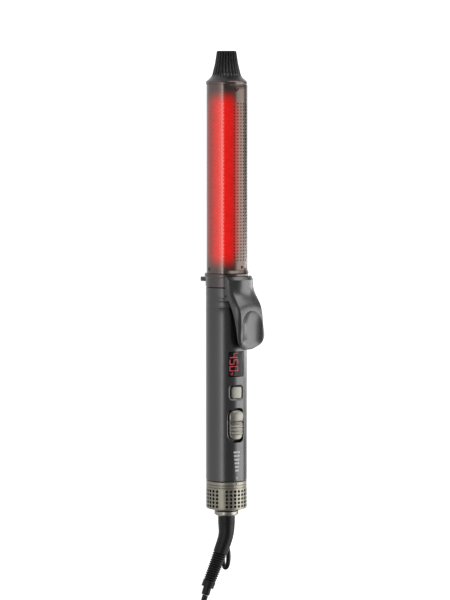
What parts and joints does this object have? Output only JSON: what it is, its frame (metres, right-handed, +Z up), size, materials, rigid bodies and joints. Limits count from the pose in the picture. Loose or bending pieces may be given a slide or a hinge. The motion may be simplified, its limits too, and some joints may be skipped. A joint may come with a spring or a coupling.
{
  "type": "curling iron",
  "caption": "Clamp curling iron with a red-lit barrel, thumb lever, display and controls on the handle, vented end cap and swivel cord.",
  "frame": {"origin": "bottom centre of the iron as it lies on its flip-out foot and the rim of its vent cap", "axes": "+Z up with the clamp lever on top, +X along the iron toward the cord, so the cool tip points to -X"},
  "size_m": [0.6954, 0.0414, 0.0484],
  "materials": {
    "gunmetal_shell": "satin metallic paint",
    "taupe_shell": "satin metallic paint",
    "titanium_barrel": "brushed, warm grey coating",
    "champagne_metal": "satin champagne",
    "champagne_plastic": "satin champagne paint",
    "black_plastic": "satin",
    "relief_rubber": "matt",
    "steel": "plain",
    "spreader_aluminium": "mill finish",
    "ceramic": "matt",
    "red_diffuser": "translucent red, lit",
    "circuit_board": "solder mask",
    "display_lens": "gloss, dark",
    "inner_plastic": "matt",
    "copper_rings": "plain",
    "cord_rubber": "satin",
    "tie_strap": "woven",
    "plug_metal": "plated"
  },
  "bodies": {
    "handle": {"handle_tube": "gunmetal_shell", "barrel_collar": "taupe_shell", "barrel_tube": "titanium_barrel", "cord_collar": "champagne_metal", "cool_tip": "black_plastic", "barrel_spigot": "black_plastic", "swivel_socket": "black_plastic", "hinge_pin": "steel", "stand_pin": "steel", "barrel_screw_near": "steel", "barrel_screw_far": "steel", "barrel_screw_under": "steel", "tip_screw": "steel", "lever_spring": "steel", "thermal_fuse": "steel", "fan_motor": "steel", "heat_spreader_front": "spreader_aluminium", "heat_spreader_rear": "spreader_aluminium", "capacitor": "spreader_aluminium", "tip_insulator": "ceramic", "heater_core": "ceramic", "thermistor": "ceramic", "ir_diffuser_front": "red_diffuser", "ir_diffuser_rear": "red_diffuser", "ir_board_front": "circuit_board", "ir_board_rear": "circuit_board", "control_board": "circuit_board", "display_window": "display_lens", "display_module": "inner_plastic", "tact_switch": "inner_plastic", "slide_switch": "inner_plastic", "chassis_tray": "inner_plastic", "air_duct": "inner_plastic", "power_module": "inner_plastic", "fan_mount": "inner_plastic", "brush_block": "inner_plastic", "cord_tube": "cord_rubber", "cord_hank": "cord_rubber", "cord_tail": "cord_rubber", "plug_body": "cord_rubber", "cord_tie": "tie_strap", "plug_blade_left": "plug_metal", "plug_blade_right": "plug_metal"},
    "clamp": {"clamp_plate": "titanium_barrel", "clamp_lever": "gunmetal_shell", "clamp_rivet_tip": "steel", "clamp_rivet_base": "steel"},
    "stand": {"stand_foot": "taupe_shell"},
    "power_button": {"power_button": "champagne_plastic"},
    "mode_slider": {"mode_slider": "champagne_plastic"},
    "fan": {"impeller": "black_plastic"},
    "rear_cap": {"vent_cap": "champagne_metal", "lint_screen": "steel"},
    "swivel": {"swivel_stem": "black_plastic", "slip_rings": "copper_rings", "strain_relief": "relief_rubber", "hang_loop": "relief_rubber"}
  },
  "joints": [
    {"name": "clamp_hinge", "type": "hinge", "parent": "handle", "child": "clamp", "pos_m": [-0.02286, 0, 0.0346], "axis": [0, 1, 0], "range_deg": [0, 6.5], "stiffness_Nm_per_rad": 0.6, "springref_deg": -14.32, "deforming": ["lever_spring"]},
    {"name": "stand_fold", "type": "hinge", "parent": "handle", "child": "stand", "pos_m": [-0.03605, 0, 0.00436], "axis": [0, -1, 0], "range_deg": [0, 85]},
    {"name": "power_button_press", "type": "slide", "parent": "handle", "child": "power_button", "axis": [-0.0342, 0.3007, -0.9531], "range_m": [0, 0.0007], "stiffness_N_per_m": 900, "springref_m": -0.0008},
    {"name": "mode_slider_slide", "type": "slide", "parent": "handle", "child": "mode_slider", "axis": [-0.9994, 0, 0.0359], "range_m": [-0.0016, 0.0016]},
    {"name": "impeller_spin", "type": "hinge", "parent": "handle", "child": "fan", "pos_m": [0.14459, 0, 0.01608], "axis": [-0.9994, 0, 0.0359], "continuous": true},
    {"name": "vent_cap_twist", "type": "hinge", "parent": "handle", "child": "rear_cap", "pos_m": [0.14459, 0, 0.01608], "axis": [-0.9994, 0, 0.0359], "range_deg": [0, 25]},
    {"name": "cord_swivel", "type": "hinge", "parent": "handle", "child": "swivel", "pos_m": [0.14459, 0, 0.01608], "axis": [-0.9994, 0, 0.0359], "continuous": true}
  ]
}
